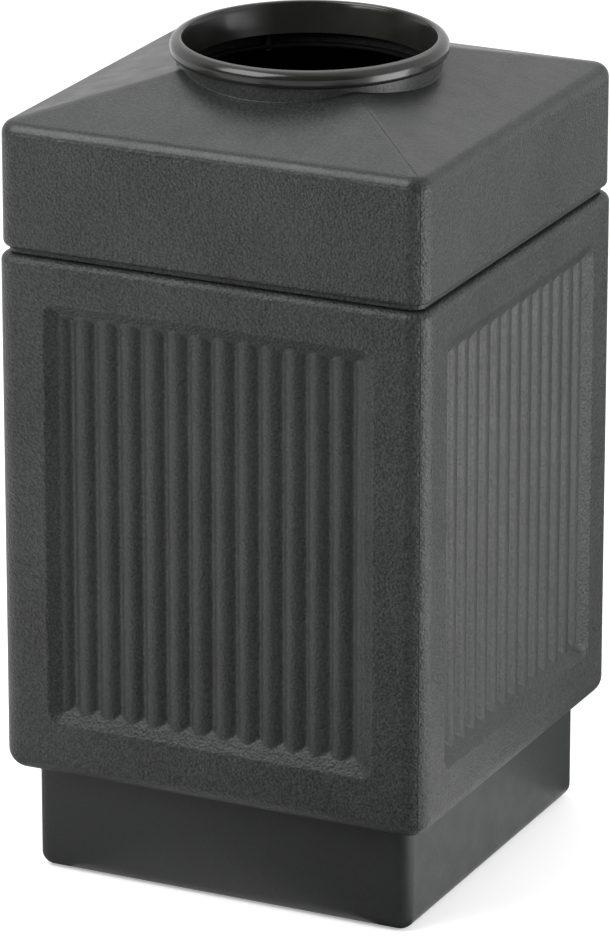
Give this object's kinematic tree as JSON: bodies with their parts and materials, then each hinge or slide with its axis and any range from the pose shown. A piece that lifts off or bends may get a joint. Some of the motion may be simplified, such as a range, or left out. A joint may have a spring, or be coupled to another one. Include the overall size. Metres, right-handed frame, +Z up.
{
  "type": "square litter bin",
  "caption": "Square free-standing litter bin with recessed ribbed panels, an inset plinth, a lift-off hipped lid with a round opening ring, and a rigid liner with swing handles.",
  "frame": {"origin": "centre of the plinth's footprint, on the floor", "axes": "+Z up, -Y out of the front panel, +X to the right seen from the front"},
  "size_m": [0.4636, 0.4636, 0.843],
  "materials": {
    "charcoal_polyethylene": "pebbled rotomoulded polyethylene",
    "gloss_black_plastic": "polished black",
    "liner_plastic": "smooth moulded",
    "grip_plastic": "smooth moulded",
    "zinc_steel": "bright zinc plate"
  },
  "bodies": {
    "bin_base": {"base_plinth": "charcoal_polyethylene", "body_shell": "charcoal_polyethylene", "base_bolt_1": "zinc_steel", "base_bolt_2": "zinc_steel", "base_bolt_3": "zinc_steel", "base_bolt_4": "zinc_steel", "base_nut_1": "zinc_steel", "base_nut_2": "zinc_steel", "base_nut_3": "zinc_steel", "base_nut_4": "zinc_steel", "base_upper_washer_1": "zinc_steel", "base_upper_washer_2": "zinc_steel", "base_upper_washer_3": "zinc_steel", "base_upper_washer_4": "zinc_steel", "base_lower_washer_1": "zinc_steel", "base_lower_washer_2": "zinc_steel", "base_lower_washer_3": "zinc_steel", "base_lower_washer_4": "zinc_steel"},
    "liner": {"inner_liner": "liner_plastic", "handle_bracket_right_1": "zinc_steel", "handle_bracket_right_2": "zinc_steel", "handle_bracket_left_1": "zinc_steel", "handle_bracket_left_2": "zinc_steel", "bracket_rivet_right_1": "zinc_steel", "bracket_rivet_right_2": "zinc_steel", "bracket_rivet_right_3": "zinc_steel", "bracket_rivet_right_4": "zinc_steel", "bracket_rivet_left_1": "zinc_steel", "bracket_rivet_left_2": "zinc_steel", "bracket_rivet_left_3": "zinc_steel", "bracket_rivet_left_4": "zinc_steel"},
    "lid": {"lid_shell": "charcoal_polyethylene", "opening_ring": "gloss_black_plastic", "ring_clamp_collar": "gloss_black_plastic", "ring_screw_1": "zinc_steel", "ring_screw_2": "zinc_steel", "ring_screw_3": "zinc_steel", "ring_screw_4": "zinc_steel"},
    "right_handle": {"liner_handle_right": "zinc_steel", "handle_grip_right": "grip_plastic"},
    "left_handle": {"liner_handle_left": "zinc_steel", "handle_grip_left": "grip_plastic"}
  },
  "joints": [
    {"name": "liner_lift", "type": "slide", "parent": "bin_base", "child": "liner", "axis": [0, 0, 1], "range_m": [0, 0.75]},
    {"name": "lid_lift", "type": "slide", "parent": "liner", "child": "lid", "axis": [0, 0, 1], "range_m": [0, 0.25]},
    {"name": "right_handle_swing", "type": "hinge", "parent": "liner", "child": "right_handle", "pos_m": [0.181, 0, 0.59], "axis": [0, 1, 0], "range_deg": [0, 180]},
    {"name": "left_handle_swing", "type": "hinge", "parent": "liner", "child": "left_handle", "pos_m": [-0.181, 0, 0.59], "axis": [0, -1, 0], "range_deg": [0, 180]}
  ]
}
